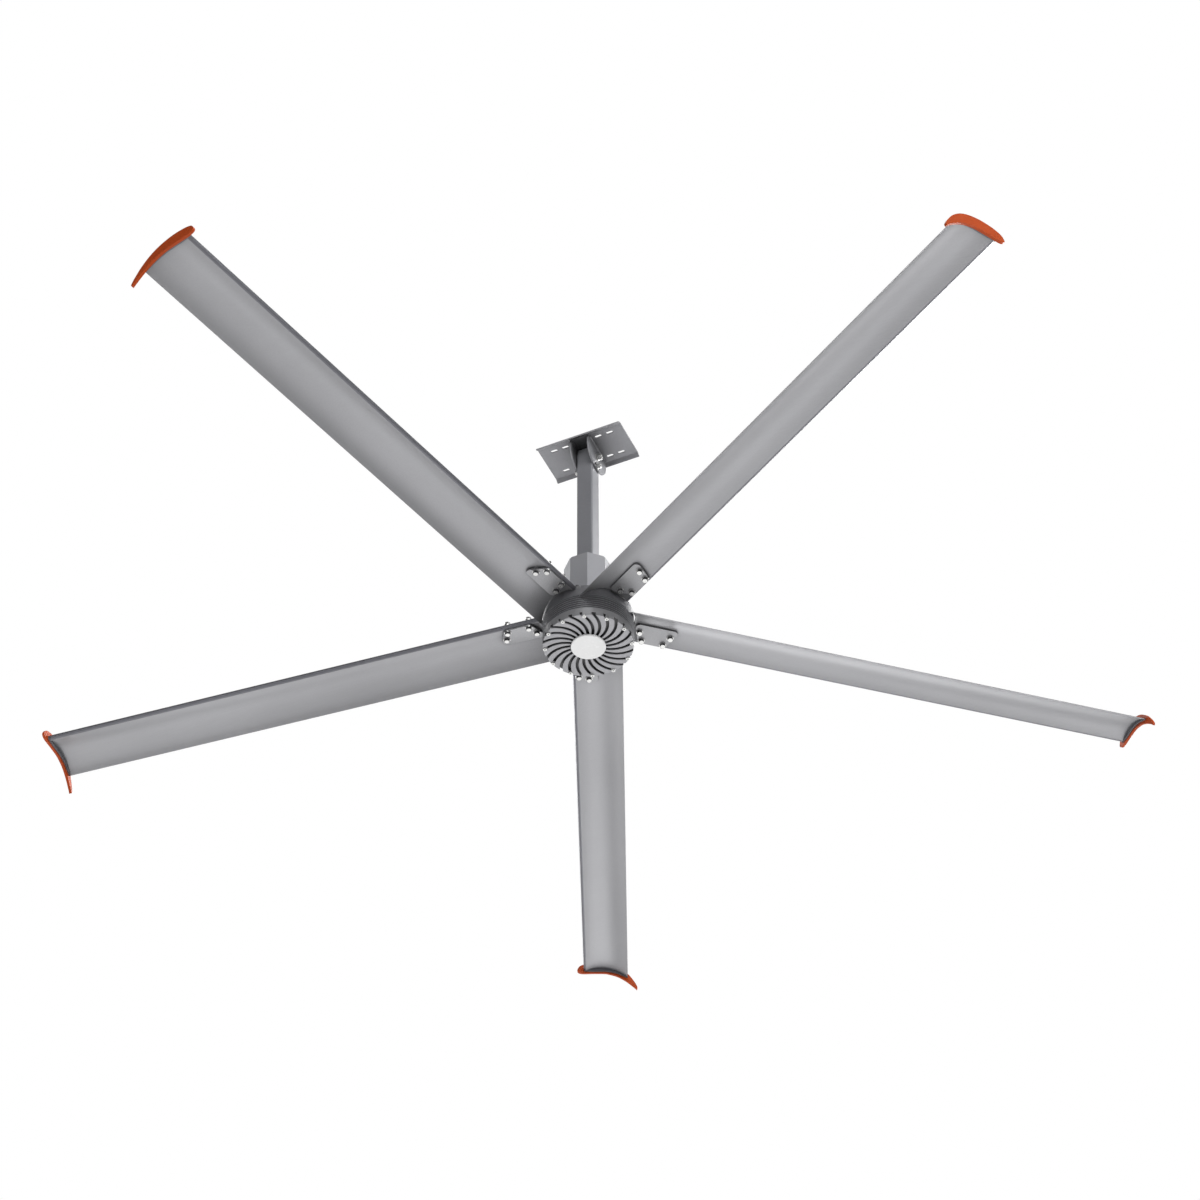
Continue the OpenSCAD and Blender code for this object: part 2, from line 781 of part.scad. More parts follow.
module rotor_drum() {
    rib_zone_h = skirt_z - cover_joint_z - 2 * drum_edge;
    rib_pitch = rib_zone_h / rib_count;
    ribs = [for (i = [0:rib_count - 1])
        each rib_points(cover_joint_z + drum_edge + (i + 0.5) * rib_pitch - rib_w / 2)];
    color("dimgray")
    difference() {
        rotate_extrude($fn = big_fn)
            polygon(concat([[drum_in_r, cover_joint_z], [hub_r - rib_tip, cover_joint_z],
                [hub_r - rib_tip, cover_joint_z + drum_edge - rib_tip],
                [hub_r - rib_depth, cover_joint_z + drum_edge]], ribs,
                [[hub_r - rib_depth, skirt_z - drum_edge], [hub_r - rib_tip, skirt_z - drum_edge + rib_tip],
                [hub_r - rib_tip, skirt_z], [drum_in_r, skirt_z]]));
        rim_screw_places() translate([0, 0, cover_joint_z - overrun])
            cylinder(d = rim_screw_d + 2 * fit_gap, h = skirt_z - cover_joint_z + 2 * overrun);
    }
}

module back_iron() {
    r_in = stator_r + air_gap + magnet_t + fit_gap;
    color("gray") translate([0, 0, stator_z - magnet_over])
        ring(drum_in_r - fit_gap, r_in, stator_h + 2 * magnet_over);
}

magnet_over = 3;

module magnets() {
    magnet_share = 0.9;
    r_in = stator_r + air_gap;
    color("lightslategray") translate([0, 0, stator_z])
    for (i = [0:magnet_count - 1]) rotate(i * 360 / magnet_count)
        intersection() {
            ring(r_in + magnet_t, r_in, stator_h);
            wedge(r_in + magnet_t, magnet_share * 180 / magnet_count, stator_h);
        }
}

groove_in_r = 55;
groove_first_angle = 8.15;
cover_wall = 8;
cover_rim_wall = 15;
boss_wall = 10;
screw_boss_r = 8.5;

// A spiral groove: an arc that leaves the boss radially and sweeps back to the rim
module spiral_groove() {
    reach = groove_arc_r + groove_w;
    intersection() {
        translate([groove_in_r, -groove_arc_r, 0])
            ring(groove_arc_r + groove_w / 2, groove_arc_r - groove_w / 2, groove_depth + overrun);
        translate([groove_in_r, -reach, 0]) cube([2 * reach, 2 * reach, groove_depth + overrun]);
    }
}

// The grooves, less the bosses that stand in the mouth of every second one
module spiral_grooves() {
    difference() {
        for (i = [0:groove_count - 1])
            rotate(groove_first_angle + i * 360 / groove_count)
                translate([0, 0, cover_face_z - overrun]) spiral_groove();
        rim_screw_places() translate([0, 0, cover_face_z + screw_sink])
            cylinder(r = screw_boss_r, h = 2 * groove_depth);
    }
}

module bottom_cover() {
    floor_z = cover_face_z + groove_depth;
    inside_z = floor_z + cover_wall;
    boss_r = lower_bearing[1] + boss_wall;
    boss_top_z = lower_bearing_z + lower_bearing[2] + bearing_lip;
    band_taper = 1.5;
    rim_in_r = hub_r - cover_rim_wall;
    color("gray")
    difference() {
        rotate_extrude($fn = big_fn)
            polygon([[nut_hole_r, cover_face_z], [hub_r - band_taper - edge_break, cover_face_z],
                [hub_r - band_taper, cover_face_z + edge_break], [hub_r, cover_joint_z],
                [rim_in_r, cover_joint_z], [rim_in_r, inside_z],
                [boss_r, inside_z], [boss_r, boss_top_z], [lower_bearing[1], boss_top_z],
                [lower_bearing[1], lower_bearing_z], [nut_hole_r, lower_bearing_z]]);
        spiral_grooves();
        rim_screw_places() translate([0, 0, cover_face_z - overrun]) {
            cylinder(d = rim_screw_d + 2 * fit_gap, h = cover_face_drop);
            cylinder(r = rim_head_r + run_gap, h = screw_sink + overrun);
        }
    }
}

nut_hole_r = 35;
screw_sink = 1;
rim_head_r = 6.5;

module rim_screws() {
    head_t = 5;
    socket_d = 6;
    z = cover_face_z + screw_sink;
    color("silver")
    rim_screw_places() translate([0, 0, z])
        difference() {
            union() {
                translate([0, 0, -head_t]) cylinder(r = rim_head_r, h = head_t);
                cylinder(d = rim_screw_d, h = skirt_z + rim_screw_grip - z - overrun);
            }
            translate([0, 0, -head_t - overrun]) cylinder(d = socket_d, h = head_t, $fn = hexagon);
        }
}

module badge_cap() {
    cap_gap = 0.5;
    spigot_t = 4;
    color("gainsboro")
    difference() {
        rotate_extrude($fn = big_fn)
            polygon([[0, cover_face_z - badge_stand], [badge_r - edge_break, cover_face_z - badge_stand],
                [badge_r, cover_face_z - badge_stand + edge_break], [badge_r, cover_face_z],
                [nut_hole_r - seat_gap, cover_face_z], [nut_hole_r - seat_gap, cover_face_z + spigot_t],
                [0, cover_face_z + spigot_t]]);
        translate([0, 0, cover_face_z - badge_stand + spigot_t])
            cylinder(r = nut_hole_r - 2 * cap_gap, h = badge_stand + spigot_t);
    }
}

module shaft_seal() {
    lip_r = shaft_r + run_gap;
    seal_wall = 3;
    z = hub_top_z - seal_h;
    color("black")
    rotate_extrude()
        polygon([[lip_r, z + seal_wall / 2], [lip_r + seal_wall, z], [seal_r - fit_gap, z],
            [seal_r - fit_gap, z + seal_h], [lip_r + seal_wall, z + seal_h],
            [lip_r + seal_wall, z + seal_wall], [lip_r, z + seal_wall]]);
}

// Blades with their arms, clamps and tips. A blade runs along +X, its nose towards +Y.

function blade_angle(k) = first_blade_angle + (k - 1) * blade_step;

module at_blade(k) {
    translate([0, 0, blade_z]) rotate(blade_angle(k)) children();
}

// Both arcs run smoothly into the nose: each meets it, just inside its edge, at this angle
over_nose_angle = 69.5;
under_nose_angle = -111;
nose_sink = 0.15;
crown_y = 3;
function nose_point(angle) = [nose_y, 0] + (nose_r - nose_sink) * [cos(angle), sin(angle)];
upper_centre = arc_centre(nose_point(over_nose_angle), [crown_y, crown_h], [-trail_y, trail_t - trail_drop]);
upper_r = norm([crown_y, crown_h] - upper_centre);
lower_centre = arc_centre(nose_point(under_nose_angle), [crown_y, under_h], [-trail_y, -trail_drop]);
lower_r = norm([crown_y, under_h] - lower_centre);
web_t = 2.5;
web_ys = [-16, -66];
trail_solid_l = 18;
root_r = hub_r + root_gap;

function under_z(y) = lower_centre.y + sqrt(lower_r * lower_r - pow(y - lower_centre.x, 2));
function over_z(y) = upper_centre.y + sqrt(upper_r * upper_r - pow(y - upper_centre.x, 2));

// Region between the blade's two arcs, drawn in by a margin
module camber_2d(margin) {
    difference() {
        translate(upper_centre) circle(r = upper_r - margin, $fn = big_fn);
        translate(lower_centre) circle(r = lower_r + margin, $fn = big_fn);
    }
}

// The same from y0 to y1
module camber_slice_2d(margin, y0, y1) {
    deep = 2 * trail_y;
    intersection() {
        camber_2d(margin);
        translate([y0, -deep]) square([y1 - y0, 2 * deep]);
    }
}

// The same from y0 forward to where the arcs meet the nose
module front_camber_2d(margin, y0) {
    deep = 2 * trail_y;
    over_y = nose_y + (nose_r - margin) * cos(over_nose_angle);
    under_y = nose_y + (nose_r - margin) * cos(under_nose_angle);
    intersection() {
        camber_2d(margin);
        polygon([[y0, -deep], [under_y, -deep], [under_y, 0], [over_y, 0], [over_y, deep], [y0, deep]]);
    }
}

module blade_outline_2d(margin) {
    front_camber_2d(margin, -trail_y + margin);
    translate([nose_y, 0]) circle(r = nose_r - margin);
}

// The three hollow cells of the extrusion
module blade_cells_2d(margin) {
    edge = web_t / 2 + margin;
    front_camber_2d(skin_t + margin, web_ys[0] + edge);
    translate([nose_y, 0]) circle(r = nose_r - skin_t - margin);
    camber_slice_2d(skin_t + margin, web_ys[1] + edge, web_ys[0] - edge);
    camber_slice_2d(skin_t + margin, trail_solid_l - trail_y + margin, web_ys[1] - edge);
}

module blade(k) {
    color("darkgray")
    at_blade(k)
        difference() {
            along_x(0, blade_r)
                difference() {
                    blade_outline_2d(0);
                    blade_cells_2d(0);
                }
            translate([0, 0, -2 * trail_drop]) cylinder(r = root_r, h = 4 * trail_drop, $fn = big_fn);
            clamp_bolt_holes();
        }
}

// Clamp plate: flat, bridging from the nose's underside back to the hollow of the blade
clamp_back = 27;
clamp_span = [nose_y + clamp_back, under_z(-clamp_back)];
clamp_tilt = asin(nose_r / norm(clamp_span)) + atan2(clamp_span.y, clamp_span.x);
clamp_rear_y = 4.5;
clamp_front_y = 39;
clamp_back_rs = [165, 312];
clamp_front_rs = [186, 290];
clamp_corner_r = 14;

// Frame of the clamp: origin under the nose, -Y runs back along the plate's upper face
module clamp_frame() {
    translate([0, nose_y, -(nose_r + seat_gap) / cos(clamp_tilt)]) rotate([-clamp_tilt, 0, 0]) children();
}

function clamp_y(y) = (y - nose_y) / cos(clamp_tilt);

module clamp_bolt_places() {
    clamp_frame() {
        for (r = bolt_rear_rs) translate([r, clamp_y(clamp_rear_y), 0]) children();
        for (r = bolt_front_rs) translate([r, clamp_y(clamp_front_y), 0]) children();
    }
}

module clamp_bolt_holes() {
    depth = 6 * nose_r;
    clamp_bolt_places() translate([0, 0, -depth / 2])
        cylinder(r = blade_bolt_d / 2 + seat_gap, h = 2 * depth);
}

// Rounded trapezium: four corner circles, and a polygon through their outer tangent points
module trapezium_2d(back_rs, front_rs, back_y, front_y, r) {
    corners = [[back_rs[0] + r, back_y + r], [back_rs[1] - r, back_y + r],
        [front_rs[1] - r, front_y - r], [front_rs[0] + r, front_y - r]];
    n = len(corners);
    polygon([for (i = [0:n - 1])
        let (a = corners[i], b = corners[(i + 1) % n], out = [b.y - a.y, a.x - b.x] * r / norm(b - a))
        each [a + out, b + out]]);
    for (c = corners) translate(c) circle(r = r);
}

// Solid blade over the length of its clamp, a little larger than the blade itself
module clamp_seat() {
    along_x(clamp_back_rs[0] - overrun, clamp_back_rs[1] + overrun) blade_outline_2d(-fit_gap);
}

module clamp_plates() {
    color("silver")
    for (k = [1:blade_count]) at_blade(k)
        difference() {
            clamp_frame() translate([0, 0, -clamp_t]) linear_extrude(clamp_t)
                trapezium_2d(clamp_back_rs, clamp_front_rs, clamp_y(-clamp_back), 0, clamp_corner_r);
            clamp_bolt_holes();
        }
}

// Bushes that stand on the clamp plate and reach up to the blade's underside, cut short of
// the line where plate and nose meet
module clamp_spacers() {
    nose_clear = 4;
    color("silver")
    for (k = [1:blade_count]) at_blade(k)
        difference() {
            clamp_bolt_places() ring(saddle_r, blade_bolt_d / 2 + seat_gap, nose_r);
            clamp_seat();
            translate([0, nose_y - nose_clear, -2 * nose_r]) cube([clamp_back_rs[1], saddle_r, 2 * nose_r]);
        }
}

// Arm: a pad let into the hub's top and a tongue that fills the blade's front cell
arm_bolt_d = 10;
arm_bolt_depth = 10;
arm_rim_bolt_r = 145;
arm_rim_bolt_angle = 22.7;
arm_in_bolt_r = 106;
arm_in_bolt_angle = 14;
tongue_l = 165;
tongue_margin = 0.4;
tongue_root_r = 118;
tongue_full_r = 153;
tongue_narrow_y = 27;

module arm_bolt_places() {
    for (k = [1:blade_count]) rotate(blade_angle(k)) one_arm_bolt_places() children();
}

module one_arm_bolt_places() {
    for (side = [-1, 1]) {
        rotate(side * arm_rim_bolt_angle) translate([arm_rim_bolt_r, 0, 0]) children();
        rotate(side * arm_in_bolt_angle) translate([arm_in_bolt_r, 0, 0]) children();
    }
}

module arm(k) {
    pad_z = hub_top_h - arm_t;
    tongue_back_y = web_ys[0] + web_t / 2;
    color("slategray")
    at_blade(k)
        difference() {
            union() {
                translate([0, 0, pad_z]) intersection() {
                    ring(hub_r - edge_break, pad_in_r, arm_t);
                    wedge(hub_r, pad_half_angle, arm_t);
                }
                along_x(tongue_root_r, tongue_full_r)
                    camber_slice_2d(skin_t + tongue_margin, tongue_back_y + tongue_margin, tongue_narrow_y);
                along_x(tongue_full_r - overrun, hub_r + tongue_l)
                    front_camber_2d(skin_t + tongue_margin, tongue_back_y + tongue_margin);
            }
            one_arm_bolt_places() translate([0, 0, pad_z - overrun])
                cylinder(r = arm_bolt_d / 2 + seat_gap, h = arm_t + 2 * overrun);
            clamp_bolt_holes();
        }
}

module arm_bolts() {
    color("silver")
    translate([0, 0, hub_top_z]) arm_bolt_places()
        hex_bolt(arm_bolt_d, arm_t + arm_bolt_depth - overrun);
}

bolt_washer_t = washer_t(blade_bolt_d);
saddle_r = washer_r(blade_bolt_d);
nut_seat_z = 24.5;

module blade_bolts() {
    color("silver")
    for (k = [1:blade_count]) at_blade(k) clamp_bolt_places()
        translate([0, 0, -clamp_t - bolt_washer_t]) mirror([0, 0, 1])
            hex_bolt(blade_bolt_d,
                clamp_t + bolt_washer_t + nut_seat_z + thread_out_share * nut_h(blade_bolt_d));
}

// Flat washers under the heads, and on top of the blade saddle washers for the nuts
module blade_washers() {
    color("silver")
    for (k = [1:blade_count]) at_blade(k) {
        clamp_bolt_places() translate([0, 0, -clamp_t - bolt_washer_t]) washer(blade_bolt_d);
        difference() {
            clamp_bolt_places() translate([0, 0, nut_seat_z / 2])
                ring(saddle_r, blade_bolt_d / 2 + seat_gap, nut_seat_z / 2);
            clamp_seat();
        }
    }
}

module blade_nuts() {
    color("silver")
    for (k = [1:blade_count]) at_blade(k) clamp_bolt_places()
        translate([0, 0, nut_seat_z]) hex_nut(blade_bolt_d);
}

// Tip plug: blocks inside the blade's cells, and a flange that stands lower than the blade
plug_margin = 0.4;
tip_points = [[58, -9], [26, -12], [-24, -12], [-50, -16], [-75, -24], [-99, -37]];

module tip_flange_2d() {
    high = 2 * crown_h;
    intersection() {
        translate(upper_centre) circle(r = upper_r, $fn = big_fn);
        polygon(concat([[-trail_y, -trail_drop], [-trail_y, high], [nose_y, high]], tip_points));
    }
    translate([nose_y, 0]) circle(r = nose_r);
}

module tip_plugs() {
    color("dimgray")
    for (k = [1:blade_count]) at_blade(k) {
        along_x(blade_r - plug_l, blade_r + tip_flange_t / 2) blade_cells_2d(plug_margin);
        along_x(blade_r, blade_r + tip_flange_t) tip_flange_2d();
    }
}

// Outline of a winglet, as shares of its length and height from its crest
winglet_front_y = 85;
winglet_crest_z = 31.5;
winglet_shares = [[0, 0.27], [0.035, 0.13], [0.11, 0.055], [0.22, 0.012], [0.39, 0.004], [0.57, 0.075],
    [0.725, 0.22], [0.86, 0.46], [0.953, 0.725], [0.995, 0.89], [1, 0.955], [0.985, 0.995], [0.966, 0.945],
    [0.87, 0.77], [0.78, 0.63], [0.68, 0.51], [0.57, 0.43], [0.46, 0.38], [0.25, 0.37], [0.105, 0.375],
    [0.03, 0.345]];

function winglet_points() = [for (s = winglet_shares)
    [winglet_front_y - s.x * winglet_l, winglet_crest_z - s.y * winglet_h]];

module winglet(k) {
    spline_steps = 4;
    inner_r = blade_r + tip_flange_t;
    color("orangered")
    at_blade(k)
        along_x(inner_r, inner_r + winglet_t) polygon(closed_spline(winglet_points(), spline_steps));
}

ceiling_plate();
pivot_ears();
pivot_bolt();
pivot_nut();
pivot_washers();
down_tube();
pivot_bush();
lock_bolt();
lock_nut();
lock_washers();
cable_grommet();
collar_panel(1);  // collar_panel_1
collar_panel(2);  // collar_panel_2
collar_panel(3);  // collar_panel_3
collar_panel(4);  // collar_panel_4
collar_frame_top();
collar_frame_bottom();
collar_bolts();
tube_base();
base_bolts();
main_shaft();
stator_carrier();
stator_core();
stator_windings();
upper_bearing_inner();
lower_bearing_inner();
shaft_nut();
top_cover();
rotor_drum();
back_iron();
magnets();
bottom_cover();
badge_cap();
rim_screws();
shaft_seal();
upper_bearing_outer();
lower_bearing_outer();
bearing_balls();
arm(1);  // arm_1
arm(2);  // arm_2
arm(3);  // arm_3
arm(4);  // arm_4
arm(5);  // arm_5
arm_bolts();
clamp_plates();
clamp_spacers();
blade(1);  // blade_1
blade(2);  // blade_2
blade(3);  // blade_3
blade(4);  // blade_4
blade(5);  // blade_5
blade_bolts();
blade_washers();
blade_nuts();
tip_plugs();
winglet(1);  // winglet_1
winglet(2);  // winglet_2
winglet(3);  // winglet_3
winglet(4);  // winglet_4
winglet(5);  // winglet_5
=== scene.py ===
import json
import math

import bmesh
import bpy
import numpy as np
from mathutils import Matrix, Vector

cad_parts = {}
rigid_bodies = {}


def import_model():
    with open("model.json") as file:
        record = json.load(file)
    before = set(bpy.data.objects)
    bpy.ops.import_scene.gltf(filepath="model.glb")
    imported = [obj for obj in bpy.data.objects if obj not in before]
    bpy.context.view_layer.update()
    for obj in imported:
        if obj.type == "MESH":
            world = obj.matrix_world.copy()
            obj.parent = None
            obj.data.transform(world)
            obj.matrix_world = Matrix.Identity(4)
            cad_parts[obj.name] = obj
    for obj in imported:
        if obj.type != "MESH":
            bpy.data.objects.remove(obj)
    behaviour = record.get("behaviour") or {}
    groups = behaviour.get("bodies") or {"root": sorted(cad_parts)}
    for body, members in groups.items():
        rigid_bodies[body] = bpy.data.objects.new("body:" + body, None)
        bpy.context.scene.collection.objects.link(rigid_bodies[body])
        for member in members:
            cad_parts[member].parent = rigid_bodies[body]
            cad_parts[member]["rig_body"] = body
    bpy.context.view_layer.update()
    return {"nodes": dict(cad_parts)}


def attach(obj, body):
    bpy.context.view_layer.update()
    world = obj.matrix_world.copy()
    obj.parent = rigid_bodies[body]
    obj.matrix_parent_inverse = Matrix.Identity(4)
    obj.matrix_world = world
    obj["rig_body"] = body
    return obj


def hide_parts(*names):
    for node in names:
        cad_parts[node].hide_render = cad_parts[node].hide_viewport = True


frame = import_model()
nodes = frame["nodes"]

# Driving places of the fan, in metres, as in the CAD
BLADE_Z = -0.835
BLADE_COUNT = 5
FIRST_BLADE_ANGLE = math.radians(41.4)
BLADE_STEP = 2 * math.pi / BLADE_COUNT
COLLAR_PANELS = 4

# Places where a material changes: the bottom cover's face and side band, the blade's nose edge, and
# the drum between and on its ribs; painted shade darkens the cover's grooves, the nose edge and the
# drum between its ribs
COVER_FACE_Z = BLADE_Z - 0.126
BAND_R = 0.1525
NOSE_Y = 0.0506
RIB_FLOOR_R = 0.1515
RIB_CREST_R = 0.1535


def blade_angle(k):
    return FIRST_BLADE_ANGLE + (k - 1) * BLADE_STEP


# Small kit for node materials

# Painted shade from ambient occlusion, darkening colours near close surfaces
SHADE_SAMPLES = 6
SHADE_OCCLUSION_RANGE = (0.35, 0.95)
PAINT_SHADE_DARKEST = 0.25
DUST = (0.55, 0.54, 0.52)


class Shader:
    """A node material with a Principled shader, built up by chained calls."""

    def __init__(self, name, metallic=0.0, roughness=0.5, ior=1.5, coat=0.0, coat_roughness=0.1):
        self.material = bpy.data.materials.new(name)
        self.material.use_nodes = True
        self.tree = self.material.node_tree
        self.shader = self.tree.nodes["Principled BSDF"]
        self.shader.inputs["Metallic"].default_value = metallic
        self.shader.inputs["Roughness"].default_value = roughness
        self.shader.inputs["IOR"].default_value = ior
        self.shader.inputs["Coat Weight"].default_value = coat
        self.shader.inputs["Coat Roughness"].default_value = coat_roughness
        self.place = self.new("ShaderNodeTexCoord").outputs["Object"]
        self.last_normal = None

    def new(self, kind, **settings):
        node = self.tree.nodes.new(kind)
        for key, value in settings.items():
            setattr(node, key, value)
        return node

    def link(self, a, b):
        self.tree.links.new(a, b)
        return self

    def mapped(self, rotation=(0, 0, 0), scale=(1, 1, 1), location=(0, 0, 0)):
        node = self.new("ShaderNodeMapping")
        node.inputs["Rotation"].default_value = rotation
        node.inputs["Scale"].default_value = scale
        node.inputs["Location"].default_value = location
        self.link(self.place, node.inputs["Vector"])
        return node.outputs["Vector"]

    def noise(self, scale, detail=3.0, roughness=0.5, vector=None):
        node = self.new("ShaderNodeTexNoise")
        node.inputs["Scale"].default_value = scale
        node.inputs["Detail"].default_value = detail
        node.inputs["Roughness"].default_value = roughness
        self.link(vector or self.place, node.inputs["Vector"])
        return node.outputs["Fac"]

    def ramp(self, value, stops):
        node = self.new("ShaderNodeValToRGB")
        elements = node.color_ramp.elements
        while len(elements) < len(stops):
            elements.new(0.5)
        for element, (position, colour) in zip(elements, stops):
            element.position = position
            element.color = (*colour, 1)
        self.link(value, node.inputs["Fac"])
        return node.outputs["Color"]

    def span(self, value, low, high, from_low=0.3, from_high=0.7):
        node = self.new("ShaderNodeMapRange")
        node.inputs["From Min"].default_value = from_low
        node.inputs["From Max"].default_value = from_high
        node.inputs["To Min"].default_value = low
        node.inputs["To Max"].default_value = high
        self.link(value, node.inputs["Value"])
        return node.outputs["Result"]

    def mix(self, factor, a, b, blend="MIX"):
        node = self.new("ShaderNodeMix", data_type="RGBA", blend_type=blend)
        if isinstance(factor, float):
            node.inputs["Factor"].default_value = factor
        else:
            self.link(factor, node.inputs["Factor"])
        for side, socket in ((a, node.inputs[6]), (b, node.inputs[7])):
            if isinstance(side, tuple):
                socket.default_value = (*side, 1)
            else:
                self.link(side, socket)
        return node.outputs[2]

    def painted_occlusion_shade(self, base, reach, darkest):
        """Painted shade: the base colour, darkened where other surfaces stand close by."""
        node = self.new("ShaderNodeAmbientOcclusion", samples=SHADE_SAMPLES)
        node.inputs["Distance"].default_value = reach
        grey = self.span(node.outputs["AO"], darkest, 1.0, *SHADE_OCCLUSION_RANGE)
        return self.mix(1.0, base, grey, blend="MULTIPLY")

    def height(self):
        """The place's own height, in metres."""
        node = self.new("ShaderNodeSeparateXYZ")
        self.link(self.place, node.inputs["Vector"])
        return node.outputs["Z"]

    def radius(self):
        """Distance from the fan's axis, in metres."""
        node = self.new("ShaderNodeSeparateXYZ")
        self.link(self.place, node.inputs["Vector"])
        flat = self.new("ShaderNodeCombineXYZ")
        self.link(node.outputs["X"], flat.inputs["X"]).link(node.outputs["Y"], flat.inputs["Y"])
        length = self.new("ShaderNodeVectorMath", operation="LENGTH")
        self.link(flat.outputs["Vector"], length.inputs[0])
        return length.outputs["Value"]

    def maths(self, operation, a, b):
        node = self.new("ShaderNodeMath", operation=operation)
        for side, socket in ((a, node.inputs[0]), (b, node.inputs[1])):
            if isinstance(side, (int, float)):
                socket.default_value = side
            else:
                self.link(side, socket)
        return node.outputs[0]

    def colour(self, socket):
        return self.link(socket, self.shader.inputs["Base Color"])

    def rough(self, socket):
        return self.link(socket, self.shader.inputs["Roughness"])

    def bump(self, height, distance, strength=1.0):
        node = self.new("ShaderNodeBump")
        node.inputs["Distance"].default_value = distance
        node.inputs["Strength"].default_value = strength
        self.link(height, node.inputs["Height"])
        if self.last_normal:
            self.link(self.last_normal, node.inputs["Normal"])
        self.last_normal = node.outputs["Normal"]
        return self.link(self.last_normal, self.shader.inputs["Normal"])


def shade(colour, factor):
    return tuple(c * factor for c in colour)


def tinted(shader, colour, spread=0.08, scale=2.2, dust=0.0, shade_reach=0.0):
    """Base colour with broad, faint variation, dust where wanted, and painted shade near close surfaces
    where wanted.
    """
    broad = shader.noise(scale, detail=6, roughness=0.6)
    base = shader.ramp(broad, [(0.3, shade(colour, 1 - spread)), (0.7, shade(colour, 1 + spread))])
    if dust:
        specks = shader.noise(130, detail=8, roughness=0.75)
        mask = shader.span(specks, 0, dust, 0.52, 0.72)
        base = shader.mix(mask, base, DUST)
    if shade_reach:
        base = shader.painted_occlusion_shade(base, shade_reach, PAINT_SHADE_DARKEST)
    return shader.colour(base)


# Materials

def painted(name, colour, roughness=0.42, peel=0.00006, metallic=0.0, dust=0.12, shade_reach=0.0):
    """Powder coat: faint orange peel, broad tone and gloss variation, and painted shade near close
    surfaces where asked.
    """
    s = Shader(name, metallic=metallic, coat=0.15, coat_roughness=0.3)
    tinted(s, colour, dust=dust, shade_reach=shade_reach)
    s.rough(s.span(s.noise(14, detail=5), roughness - 0.05, roughness + 0.06))
    return s.bump(s.noise(620, detail=2), peel, 0.6).material


BLADE_ALLOY = (0.36, 0.36, 0.375)
DIE_LINE_SCALE = (0.35, 90, 90)
BLADE_SHADE_REACH = 0.16
BLADE_SHADE_DARKEST = 0.4
NOSE_PAINTED_SHADE = (0.42, 0.42, 0.45)
NOSE_BLEND = (NOSE_Y - 0.0025, NOSE_Y - 0.0005)


def blade_skin(k):
    """Satin extruded aluminium: die lines run along the blade; painted shade darkens it near the hub
    and other close surfaces, and along the nose edge.
    """
    turn = (0, 0, -blade_angle(k))
    s = Shader(f"blade_skin_{k}", metallic=0.55, coat=0.05, coat_roughness=0.35)
    along = s.mapped(rotation=turn, scale=DIE_LINE_SCALE)
    lines = s.noise(6, detail=7, roughness=0.65, vector=along)
    broad = s.noise(1.4, detail=5)
    base = s.ramp(broad, [(0.3, shade(BLADE_ALLOY, 0.94)), (0.7, shade(BLADE_ALLOY, 1.06))])
    streaks = s.ramp(lines, [(0.35, (0.93, 0.93, 0.93)), (0.65, (1, 1, 1))])
    lined = s.mix(1.0, base, streaks, blend="MULTIPLY")
    # Painted shade: darker near the hub, the winglet and other close surfaces
    skin = s.painted_occlusion_shade(lined, BLADE_SHADE_REACH, BLADE_SHADE_DARKEST)
    # Painted shade along the nose edge
    across = s.new("ShaderNodeSeparateXYZ")
    s.link(s.mapped(rotation=turn), across.inputs["Vector"])
    nose_shade_mask = s.span(across.outputs["Y"], 0, 1, *NOSE_BLEND)
    s.colour(s.mix(nose_shade_mask, skin, s.mix(1.0, skin, NOSE_PAINTED_SHADE, blend="MULTIPLY")))
    s.rough(s.span(lines, 0.38, 0.47))
    return s.bump(lines, 0.00005, 0.5).bump(s.noise(900, detail=2), 0.00002, 0.4).material


def bright_zinc(name, colour=(0.62, 0.62, 0.61), roughness=0.28):
    """Zinc plate: bright metal with a fine crystalline mottle."""
    s = Shader(name, metallic=1.0)
    mottle = s.noise(260, detail=6, roughness=0.7)
    s.colour(s.ramp(mottle, [(0.3, shade(colour, 0.82)), (0.7, shade(colour, 1.12))]))
    s.rough(s.span(mottle, roughness - 0.07, roughness + 0.12))
    return s.bump(s.noise(1500, detail=3), 0.00003, 0.5).material


def cast_metal(name, colour, roughness=0.5, grain=0.00018):
    """Painted casting: a sand-like skin under satin paint."""
    s = Shader(name, metallic=0.15, coat=0.1, coat_roughness=0.35)
    tinted(s, colour, spread=0.1, scale=5, dust=0.1)
    s.rough(s.span(s.noise(40, detail=4), roughness - 0.06, roughness + 0.06))
    return s.bump(s.noise(420, detail=4, roughness=0.6), grain, 0.45).material


GROOVE_SHADE_DEPTHS = (0.0008, 0.006)
BAND_BLEND = (BAND_R - 0.0008, BAND_R - 0.0004)


def grooved_cover(name, colour):
    """Cast cover with machined fins: painted shade darkens the grooves with their depth, and the side
    band is darker.
    """
    s = Shader(name, metallic=0.2, coat=0.1, coat_roughness=0.35)
    depth = s.maths("SUBTRACT", s.height(), COVER_FACE_Z)
    broad = s.noise(5, detail=6, roughness=0.6)
    face = s.ramp(broad, [(0.3, shade(colour, 0.95)), (0.7, shade(colour, 1.05))])
    # Painted shade: the grooves darken with their depth behind the fin faces
    groove_shade = s.mix(s.span(depth, 0, 1, *GROOVE_SHADE_DEPTHS), face, shade(colour, 0.12))
    band = s.mix(s.noise(9, detail=4), shade(colour, 0.40), shade(colour, 0.62))
    s.colour(s.mix(s.span(s.radius(), 0, 1, *BAND_BLEND), groove_shade, band))
    s.rough(s.span(s.noise(40, detail=4), 0.34, 0.46))
    return s.bump(s.noise(420, detail=4, roughness=0.6), 0.00015, 0.45).material


